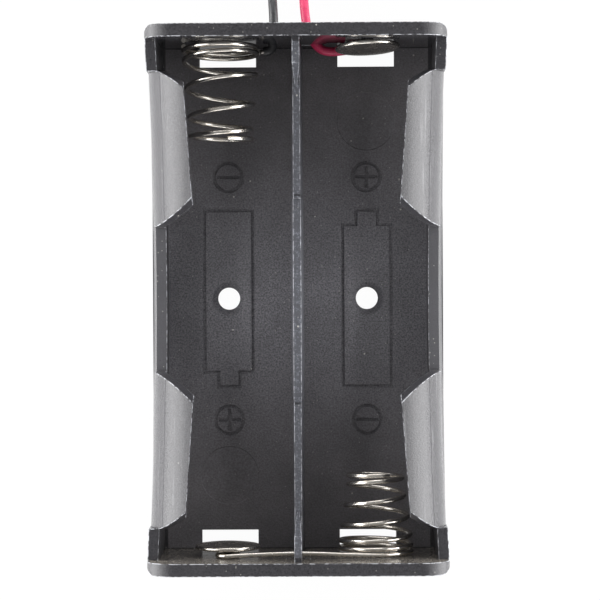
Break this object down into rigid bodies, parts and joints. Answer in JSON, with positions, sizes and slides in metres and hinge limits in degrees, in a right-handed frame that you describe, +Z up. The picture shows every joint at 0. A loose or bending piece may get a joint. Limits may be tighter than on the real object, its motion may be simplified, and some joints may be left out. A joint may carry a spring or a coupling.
{
  "type": "two-cell 18650 battery holder with wire leads",
  "caption": "Black moulded holder for cylindrical cells side by side, with curled clips, coil springs, nail contacts and wire leads.",
  "frame": {"origin": "middle of the housing's underside", "axes": "X across the two bays, +Y along the cells towards the end where the leads come out, +Z up out of the open side"},
  "size_m": [0.042, 0.1019, 0.0206],
  "materials": {
    "housing_plastic": "fine moulded texture with glossy inner end faces",
    "nickel": "nickel plated wire and nails, drawn and lightly worn",
    "solder": "dull solder with flux",
    "black_pvc": "satin insulation",
    "red_pvc": "satin insulation"
  },
  "bodies": {
    "holder": {"housing": "housing_plastic", "positive_contact_left": "nickel", "positive_contact_right": "nickel", "black_solder": "solder", "red_solder": "solder", "black_lead": "black_pvc", "black_lead_coil": "black_pvc", "black_lead_tip": "black_pvc", "red_lead": "red_pvc", "red_lead_coil": "red_pvc", "red_lead_tip": "red_pvc"},
    "left_spring": {"negative_spring_left": "nickel"},
    "right_spring": {"negative_spring_right": "nickel"}
  },
  "joints": [
    {"name": "left_spring_press", "type": "slide", "parent": "holder", "child": "left_spring", "axis": [0, 1, 0], "range_m": [0, 0.009], "stiffness_N_per_m": 300, "deforming": ["negative_spring_left"]},
    {"name": "right_spring_press", "type": "slide", "parent": "holder", "child": "right_spring", "axis": [0, -1, 0], "range_m": [0, 0.0066], "stiffness_N_per_m": 300, "deforming": ["negative_spring_right"]}
  ]
}
